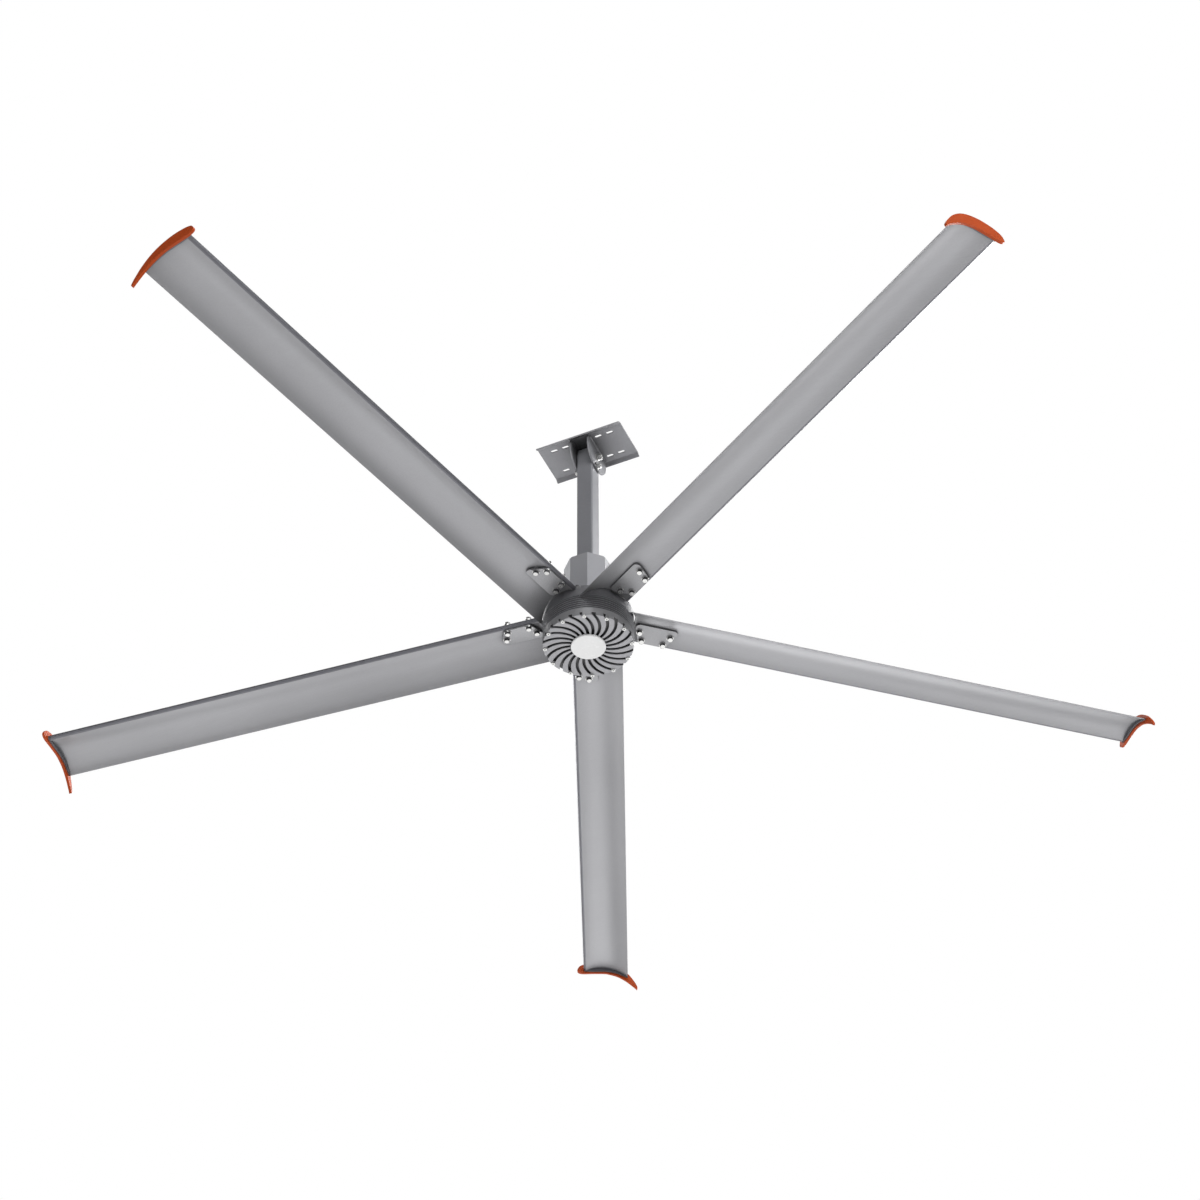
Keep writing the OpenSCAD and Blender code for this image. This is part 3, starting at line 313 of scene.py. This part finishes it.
def ribbed_casting(name, colour):
    """Painted casting with ribs: painted shade darkens the floors between the ribs, and the crests keep
    the plain paint as painted highlight lines.
    """
    s = Shader(name, metallic=0.25, coat=0.2, coat_roughness=0.25)
    broad = s.noise(5, detail=6, roughness=0.6)
    paint = s.ramp(broad, [(0.3, shade(colour, 0.92)), (0.7, shade(colour, 1.08))])
    # Painted shade between the ribs; the crests stay lighter as painted highlight lines
    out = s.span(s.radius(), 0, 1, RIB_FLOOR_R, RIB_CREST_R)
    s.colour(s.mix(out, shade(colour, 0.35), paint))
    s.rough(s.span(s.noise(40, detail=4), 0.36, 0.46))
    return s.bump(s.noise(420, detail=4, roughness=0.6), 0.0001, 0.4).material


def moulded(name, colour, roughness=0.34, coat=0.3, flow=0.06, scatter=0.0, sheen_level=0.5):
    """Moulded plastic: even colour with faint flow, sink and fine texture."""
    s = Shader(name, ior=1.46, coat=coat, coat_roughness=0.18)
    s.shader.inputs["Specular IOR Level"].default_value = sheen_level
    s.shader.inputs["Subsurface Weight"].default_value = scatter
    s.shader.inputs["Subsurface Radius"].default_value = (0.004, 0.001, 0.0006)
    tinted(s, colour, spread=flow, scale=9)
    s.rough(s.span(s.noise(60, detail=4), roughness - 0.05, roughness + 0.05))
    s.bump(s.noise(1100, detail=2), 0.00002, 0.5)
    return s.bump(s.noise(18, detail=2), 0.0004, 0.15).material


def rubber(name):
    s = Shader(name, roughness=0.75)
    tinted(s, (0.022, 0.022, 0.024), spread=0.25, scale=60, dust=0.1)
    return s.bump(s.noise(800, detail=4), 0.00006, 0.6).material


def copper_wire(name):
    """Enamelled winding: fine turns wound round each tooth."""
    s = Shader(name, metallic=0.85, roughness=0.3, coat=0.6, coat_roughness=0.1)
    turns = s.new("ShaderNodeTexWave", wave_type="RINGS", rings_direction="Z")
    turns.inputs["Scale"].default_value = 120
    s.link(s.place, turns.inputs["Vector"])
    s.colour(s.ramp(turns.outputs["Fac"], [(0.2, (0.30, 0.09, 0.03)), (0.8, (0.62, 0.24, 0.09))]))
    return s.bump(turns.outputs["Fac"], 0.0004, 0.7).material


def laminated(name, colour):
    """Stacked electrical steel: thin sheets seen edge on."""
    s = Shader(name, metallic=0.9, roughness=0.45)
    sheets = s.new("ShaderNodeTexWave", wave_type="BANDS", bands_direction="Z")
    sheets.inputs["Scale"].default_value = 300
    s.link(s.place, sheets.inputs["Vector"])
    s.colour(s.ramp(sheets.outputs["Fac"], [(0.2, shade(colour, 0.6)), (0.8, colour)]))
    return s.bump(sheets.outputs["Fac"], 0.0001, 0.5).material


# The bracket's paint carries painted shade near the ears and other close surfaces
BRACKET = painted("bracket_paint", (0.255, 0.256, 0.272), roughness=0.45, metallic=0.2, shade_reach=0.12)
TUBE = painted("tube_paint", (0.222, 0.225, 0.243), roughness=0.42, metallic=0.2)
COLLAR = painted("collar_paint", (0.322, 0.325, 0.346), roughness=0.4, metallic=0.2)
FRAME_STEEL = painted("frame_steel", (0.07, 0.07, 0.073), roughness=0.55)
ZINC = bright_zinc("zinc_plate")
GROUND = bright_zinc("ground_steel", (0.48, 0.49, 0.5), 0.22)
BEARING = bright_zinc("bearing_steel", (0.6, 0.6, 0.62), 0.14)
BRONZE = bright_zinc("bronze", (0.50, 0.30, 0.12), 0.4)
DARK_CASTING = cast_metal("dark_casting", (0.096, 0.097, 0.105))
RIBBED_CASTING = ribbed_casting("ribbed_casting", (0.15, 0.151, 0.162))
FIN_CASTING = grooved_cover("fin_casting", (0.33, 0.33, 0.345))
CLAMP_ZINC = bright_zinc("clamp_zinc", (0.32, 0.32, 0.33), 0.42)
# Painted shade: a dark zinc for the side walls and threads of the rotor's bolts
SHADED_BOLT_ZINC = bright_zinc("bolt_painted_shade", (0.10, 0.10, 0.105), 0.5)
CARRIER = cast_metal("carrier_casting", (0.35, 0.35, 0.36), roughness=0.5)
ARM = cast_metal("arm_casting", (0.14, 0.142, 0.147))
BADGE = moulded("badge_cap", (0.76, 0.76, 0.76), roughness=0.25, coat=0.5, flow=0.02)
TIP = moulded("tip_plastic", (0.11, 0.11, 0.12), roughness=0.5, coat=0.0)
WINGLET = moulded("winglet_plastic", (0.40, 0.060, 0.012), roughness=0.4, coat=0.0, scatter=0.02,
                  sheen_level=0.15)
RUBBER = rubber("rubber")
COPPER = copper_wire("copper_wire")
CORE = laminated("core_steel", (0.30, 0.30, 0.32))
MAGNET = bright_zinc("magnet_plate", (0.35, 0.36, 0.38), 0.3)

MATERIALS = {
    "ceiling_plate": BRACKET, "pivot_ears": BRACKET,
    "pivot_bolt": ZINC, "pivot_nut": ZINC, "pivot_washers": ZINC,
    "lock_bolt": ZINC, "lock_nut": ZINC, "lock_washers": ZINC,
    "down_tube": TUBE, "tube_base": TUBE, "pivot_bush": BRONZE, "cable_grommet": RUBBER,
    "collar_panel": COLLAR, "collar_frame": FRAME_STEEL, "collar_bolts": ZINC,
    "base_bolts": ZINC, "main_shaft": GROUND, "shaft_nut": GROUND, "shaft_seal": RUBBER,
    "stator_carrier": CARRIER, "stator_core": CORE, "stator_windings": COPPER,
    "upper_bearing": BEARING, "lower_bearing": BEARING, "bearing_balls": BEARING,
    "top_cover": DARK_CASTING, "rotor_drum": RIBBED_CASTING, "bottom_cover": FIN_CASTING,
    "back_iron": CORE, "magnets": MAGNET, "badge_cap": BADGE, "rim_screws": ZINC,
    "arm_bolts": ZINC, "arm": ARM, "clamp": CLAMP_ZINC, "blade_": ZINC,
    "tip_plugs": TIP, "winglet": WINGLET,
}


def dress(name, node):
    """Give a CAD node the material of the longest key that its name starts with."""
    if name[:-1] == "blade_" and name[-1].isdigit():
        material = blade_skin(int(name[-1]))
    else:
        material = MATERIALS[max((key for key in MATERIALS if name.startswith(key)), key=len)]
    node.data.materials.clear()
    node.data.materials.append(material)


for name, node in nodes.items():
    dress(name, node)


# Pieces that the CAD leaves plain: softened edges, weld beads and threads

MERGE = 1e-6
FLAT_ANGLE = math.radians(1.5)
EDGE_ANGLE = math.radians(32)


def new_piece(name, mesh, material, body):
    piece = bpy.data.objects.new(name, mesh)
    bpy.context.scene.collection.objects.link(piece)
    mesh.materials.append(material)
    for polygon in mesh.polygons:
        polygon.use_smooth = True
    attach(piece, body)
    return piece


def soften(node_name, width, segments=3):
    """Replace a node by a copy of itself with its sharp edges rounded."""
    node = nodes[node_name]
    shape = bmesh.new()
    shape.from_mesh(node.data)
    bmesh.ops.remove_doubles(shape, verts=shape.verts, dist=MERGE)
    bmesh.ops.dissolve_limit(shape, angle_limit=FLAT_ANGLE, verts=shape.verts, edges=shape.edges)
    sharp = [e for e in shape.edges if len(e.link_faces) == 2 and e.calc_face_angle() > EDGE_ANGLE]
    bmesh.ops.bevel(shape, geom=sharp, offset=width, offset_type="OFFSET", segments=segments,
                    profile=0.5, affect="EDGES", clamp_overlap=True)
    mesh = bpy.data.meshes.new(node_name + "_soft")
    shape.to_mesh(mesh)
    shape.free()
    piece = new_piece(node_name + "_soft", mesh, node.data.materials[0], node["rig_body"])
    normals = piece.modifiers.new("normals", "WEIGHTED_NORMAL")
    normals.keep_sharp = True
    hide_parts(node_name)
    return piece


# Hexagon bolts and nuts: chamfered heads and thread crests, placed on the CAD's own solids

RING = 48
CHAMFER_START = 0.94
CHAMFER_SLOPE = math.tan(math.radians(30))
THREAD_DEPTH_SHARE = 0.6
THREAD_LENGTH = 0.022
THREAD_ROOT = (0.45, 0.55)
THREAD_START = -0.001
HEAD_SHARE = 0.98
SHANK_CLEAR = 0.001
FASTENER_EDGE = math.radians(25)
END_FACE_AREA = 4e-5
PITCHES = {0.016: 0.002, 0.012: 0.00175, 0.010: 0.0015, 0.008: 0.00125}


def solids_of(node):
    """The separate solids of a node, each as the set of its vertices."""
    whole = bmesh.new()
    whole.from_mesh(node.data)
    bmesh.ops.remove_doubles(whole, verts=whole.verts, dist=MERGE)
    left = set(whole.verts)
    while left:
        group, queue = set(), [next(iter(left))]
        while queue:
            vert = queue.pop()
            if vert not in group:
                group.add(vert)
                queue += [e.other_vert(vert) for e in vert.link_edges]
        left -= group
        yield group
    whole.free()


def fastener_frame(verts):
    """Axis, seat and sizes of a hexagon bolt or nut, read from its solid; +Z points out of the head."""
    spread = np.zeros((3, 3))
    for face in {f for v in verts for f in v.link_faces}:
        normal = np.array(face.normal)
        spread += face.calc_area() * np.outer(normal, normal)
    values, vectors = np.linalg.eigh(spread)
    lone = 0 if values[1] - values[0] > values[2] - values[1] else 2
    axis = vectors[:, lone]
    points = np.array([v.co[:] for v in verts])
    corner_free = points.mean(axis=0)
    along = (points - corner_free) @ axis
    across = points - corner_free - np.outer(along, axis)
    centre = (across.max(axis=0) + across.min(axis=0)) / 2
    radius = np.linalg.norm(across - centre, axis=1)
    head = radius > radius.max() * HEAD_SHARE
    if along[head].mean() < (along.max() + along.min()) / 2:
        axis, along = -axis, -along
    seat, top, end = along[head].min(), along[head].max(), along.min()
    shank = radius[along < seat - SHANK_CLEAR]
    x_axis = (across - centre)[np.argmax(radius * head)]
    x_axis = x_axis / np.linalg.norm(x_axis)
    y_axis = np.cross(axis, x_axis)
    place = Matrix((x_axis, y_axis, axis)).transposed().to_4x4()
    place.translation = Vector(corner_free + centre + seat * axis)
    return {"place": place, "corner_r": radius.max(), "height": top - seat,
            "length": seat - end, "bore_r": radius.min() if not len(shank) else 0.0,
            "shank_r": shank.max() if len(shank) else 0.0}


def lathe(shape, place, rings, closed_start=True, closed_end=True):
    """Skin over rings; a ring is a height and a radius, and each may be a function."""
    loops = []
    for height, radius in rings:
        loop = []
        for i in range(RING):
            angle = 2 * math.pi * i / RING
            r = radius(angle) if callable(radius) else radius
            z = height(r) if callable(height) else height
            corner = Vector((r * math.cos(angle), r * math.sin(angle), z))
            loop.append(shape.verts.new(place @ corner))
        loops.append(loop)
    for low, high in zip(loops, loops[1:]):
        for i in range(RING):
            j = (i + 1) % RING
            shape.faces.new((low[i], low[j], high[j], high[i]))
    if closed_start:
        shape.faces.new(reversed(loops[0]))
    if closed_end:
        shape.faces.new(loops[-1])
    return loops


def hex_radius(corner_r):
    """The hexagon's radius as a function of the angle."""
    flat_r = corner_r * math.cos(math.pi / 6)

    def radius(angle):
        return flat_r / math.cos(angle % (math.pi / 3) - math.pi / 6)
    return radius


def chamfer(height, corner_r, out=1):
    """Where a chamfer starts, and its height as a function of the radius."""
    start = CHAMFER_START * corner_r * math.cos(math.pi / 6)
    return start, lambda r: height - out * max(0.0, r - start) * CHAMFER_SLOPE


def thread_rings(radius, start, end, pitch):
    """Crests and roots from start down to end, with a chamfered tip."""
    root = radius - THREAD_DEPTH_SHARE * pitch
    count = max(1, int((start - end - pitch) / pitch))
    rings = []
    for i in range(count):
        z = start - i * pitch
        rings += [(z, radius)] + [(z - pitch * share, root) for share in THREAD_ROOT]
    return rings + [(end + pitch, radius), (end, root)]


def add_bolt(shape, frame_of):
    r, place = frame_of["corner_r"], frame_of["place"]
    radius = hex_radius(r)
    shank_r = frame_of["shank_r"]
    pitch = PITCHES[min(PITCHES, key=lambda d: abs(d - 2 * shank_r))]
    start, top = chamfer(frame_of["height"], r)
    end = -frame_of["length"]
    threads = thread_rings(shank_r, min(THREAD_START, end + THREAD_LENGTH), end, pitch)
    head = [(0.0, shank_r), (0.0, radius), (top, radius), (frame_of["height"], start)]
    lathe(shape, place, threads[::-1] + head)


def add_nut(shape, frame_of):
    r, place, h, bore = (frame_of[key] for key in ("corner_r", "place", "height", "bore_r"))
    radius = hex_radius(r)
    start, top = chamfer(h, r)
    _, bottom = chamfer(0.0, r, -1)
    rings = [(0.0, bore), (0.0, start), (bottom, radius), (top, radius), (h, start), (h, bore)]
    loops = lathe(shape, place, rings, False, False)
    for i in range(RING):
        j = (i + 1) % RING
        shape.faces.new((loops[0][j], loops[0][i], loops[-1][i], loops[-1][j]))


def refit(node_name, add):
    """Replace a node's bolts or nuts by chamfered ones on the same places."""
    node = nodes[node_name]
    shape = bmesh.new()
    for verts in solids_of(node):
        add(shape, fastener_frame(verts))
    bmesh.ops.recalc_face_normals(shape, faces=shape.faces)
    mesh = bpy.data.meshes.new(node_name + "_cut")
    shape.to_mesh(mesh)
    shape.free()
    piece = new_piece(node_name + "_cut", mesh, node.data.materials[0], node["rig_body"])
    # Painted shade on the rotor's bolts: all but the large end faces take the dark zinc
    if add == add_bolt and node["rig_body"] == "rotor":
        mesh.materials.append(SHADED_BOLT_ZINC)
        for polygon in mesh.polygons:
            polygon.material_index = int(polygon.area < END_FACE_AREA)
    mesh.set_sharp_from_angle(angle=FASTENER_EDGE)
    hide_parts(node_name)


for name in ("pivot_bolt", "lock_bolt", "collar_bolts", "arm_bolts", "blade_bolts"):
    refit(name, add_bolt)
for name in ("pivot_nut", "lock_nut", "blade_nuts"):
    refit(name, add_nut)

for k in range(1, BLADE_COUNT + 1):
    soften(f"winglet_{k}", 0.0025)
soften("ceiling_plate", 0.0008, 2)
soften("badge_cap", 0.0012)
for k in range(1, COLLAR_PANELS + 1):
    soften(f"collar_panel_{k}", 0.0006, 2)

# Fillet welds where the ears meet the ceiling plate

EAR_INNER_X, EAR_OUTER_X = 0.031, 0.037
PLATE_BOTTOM_Z = -0.005
WELD_HALF = 0.066
WELD_LEG = 0.0032
WELD_STEPS = 90
WELD_RIPPLE = 0.12
WELD_RIPPLE_STEP = 1.9
WELD_EDGE = math.radians(50)
WELD_PROFILE = [(0, 0), (0, -1), (0.42, -0.86), (0.74, -0.62), (0.9, -0.34), (1, 0)]


def weld_bead(shape, x, out):
    """A rippled bead in the corner at x; it bulges towards out."""
    rows = []
    for i in range(WELD_STEPS + 1):
        y = -WELD_HALF + 2 * WELD_HALF * i / WELD_STEPS
        leg = WELD_LEG * (1 + WELD_RIPPLE * math.sin(WELD_RIPPLE_STEP * i))
        rows.append([shape.verts.new((x + out * a * leg, y, PLATE_BOTTOM_Z + b * leg))
                     for a, b in WELD_PROFILE])
    count = len(WELD_PROFILE)
    for low, high in zip(rows, rows[1:]):
        for i in range(count):
            j = (i + 1) % count
            shape.faces.new((low[i], low[j], high[j], high[i]))
    shape.faces.new(rows[0])
    shape.faces.new(rows[-1])


def add_welds():
    shape = bmesh.new()
    for side in (-1, 1):
        weld_bead(shape, side * EAR_OUTER_X, side)
        weld_bead(shape, side * EAR_INNER_X, -side)
    bmesh.ops.recalc_face_normals(shape, faces=shape.faces)
    mesh = bpy.data.meshes.new("ear_welds")
    shape.to_mesh(mesh)
    shape.free()
    piece = new_piece("ear_welds", mesh, BRACKET, "bracket")
    mesh.set_sharp_from_angle(angle=WELD_EDGE)


add_welds()


# Camera, at the photograph's place: below the fan, looking up

IMAGE_SIZE = 1200
FOCAL_PIXELS = 2570.0
SENSOR = 36.0
CAMERA_TURN = math.radians(24.1)
CAMERA_PITCH = math.radians(43.952)
CAMERA_ROLL = math.radians(-0.424)
CAMERA_FROM_BLADES = Vector((0.04003, -6.2935, -5.98006))
CLIP_END = 200


def add_camera():
    turn = Matrix.Rotation(CAMERA_TURN, 3, "Z")
    forward = Vector((0, math.cos(CAMERA_PITCH), math.sin(CAMERA_PITCH)))
    level_up = Vector((0, -math.sin(CAMERA_PITCH), math.cos(CAMERA_PITCH)))
    level_right = Vector((1, 0, 0))
    right = math.cos(CAMERA_ROLL) * level_right + math.sin(CAMERA_ROLL) * level_up
    up = -math.sin(CAMERA_ROLL) * level_right + math.cos(CAMERA_ROLL) * level_up
    axes = Matrix((right, up, -forward)).transposed()
    data = bpy.data.cameras.new("camera")
    data.sensor_width = SENSOR
    data.lens = SENSOR * FOCAL_PIXELS / IMAGE_SIZE
    data.clip_end = CLIP_END
    camera = bpy.data.objects.new("camera", data)
    camera.matrix_world = (turn @ axes).to_4x4()
    camera.location = turn @ CAMERA_FROM_BLADES + Vector((0, 0, BLADE_Z))
    bpy.context.scene.collection.objects.link(camera)
    bpy.context.scene.camera = camera


add_camera()


# Studio: a pale floor far below, a white room and soft lights placed round the camera's heading

FLOOR_DROP = 12.0
FLOOR_HALF = 40.0
FLOOR_SEEN = 0.6
FLOOR_TONE = (0.78, 0.78, 0.78)


def pale_when_seen(s, strength):
    """Lifts the tone that the camera sees, and sheds no light on the fan."""
    seen = s.new("ShaderNodeLightPath").outputs["Is Camera Ray"]
    s.link(s.span(seen, 0, strength, 0, 1), s.shader.inputs["Emission Strength"])


def add_floor():
    mesh = bpy.data.meshes.new("floor")
    corners = [(-1, -1), (1, -1), (1, 1), (-1, 1)]
    verts = [(x * FLOOR_HALF, y * FLOOR_HALF, -FLOOR_DROP) for x, y in corners]
    mesh.from_pydata(verts, [], [(0, 1, 2, 3)])
    floor = bpy.data.objects.new("floor", mesh)
    bpy.context.scene.collection.objects.link(floor)
    s = Shader("floor_pale", roughness=0.7)
    tinted(s, FLOOR_TONE, spread=0.015, scale=0.4)
    pale_when_seen(s, FLOOR_SEEN)
    floor.data.materials.append(s.material)


def add_world(light=0.05, seen=1.0):
    """Faint even light, and a white backdrop wherever the camera looks past the fan."""
    world = bpy.data.worlds.new("studio")
    bpy.context.scene.world = world
    world.use_nodes = True
    tree = world.node_tree
    background = tree.nodes["Background"]
    background.inputs["Color"].default_value = (1, 1, 1, 1)
    path = tree.nodes.new("ShaderNodeLightPath")
    strength = tree.nodes.new("ShaderNodeMapRange")
    strength.inputs["To Min"].default_value = light
    strength.inputs["To Max"].default_value = seen
    tree.links.new(path.outputs["Is Camera Ray"], strength.inputs["Value"])
    tree.links.new(strength.outputs["Result"], background.inputs["Strength"])


# Large soft boxes on a ring round the fan: heading from the camera's right, height angle, watts
SOFTBOX_DISTANCE = 11.0
SOFTBOX_SIZE = 6.0
SOFTBOXES = [
    (0, 90, 350),
    (45, -45, 164), (90, -45, 119), (135, -45, 118), (180, -45, 129),
    (45, -10, 251), (90, -10, 342), (135, -10, 169), (225, -10, 220), (315, -10, 576),
    (45, 25, 1765), (135, 25, 751), (270, 25, 466), (315, 25, 368),
]


def add_softbox(heading, height, watts):
    angle, rise = math.radians(heading), math.radians(height)
    out = Vector((math.cos(rise) * math.cos(angle), math.cos(rise) * math.sin(angle), math.sin(rise)))
    out = Matrix.Rotation(CAMERA_TURN, 3, "Z") @ out
    data = bpy.data.lights.new(f"softbox_{heading}_{height}", "AREA")
    data.shape = "SQUARE"
    data.size = SOFTBOX_SIZE
    data.energy = watts
    light = bpy.data.objects.new(data.name, data)
    light.location = out * SOFTBOX_DISTANCE + Vector((0, 0, BLADE_Z))
    light.rotation_euler = (-out).to_track_quat("-Z", "Y").to_euler()
    bpy.context.scene.collection.objects.link(light)


bpy.context.scene.view_settings.view_transform = "Standard"
add_floor()
add_world()
for softbox in SOFTBOXES:
    add_softbox(*softbox)
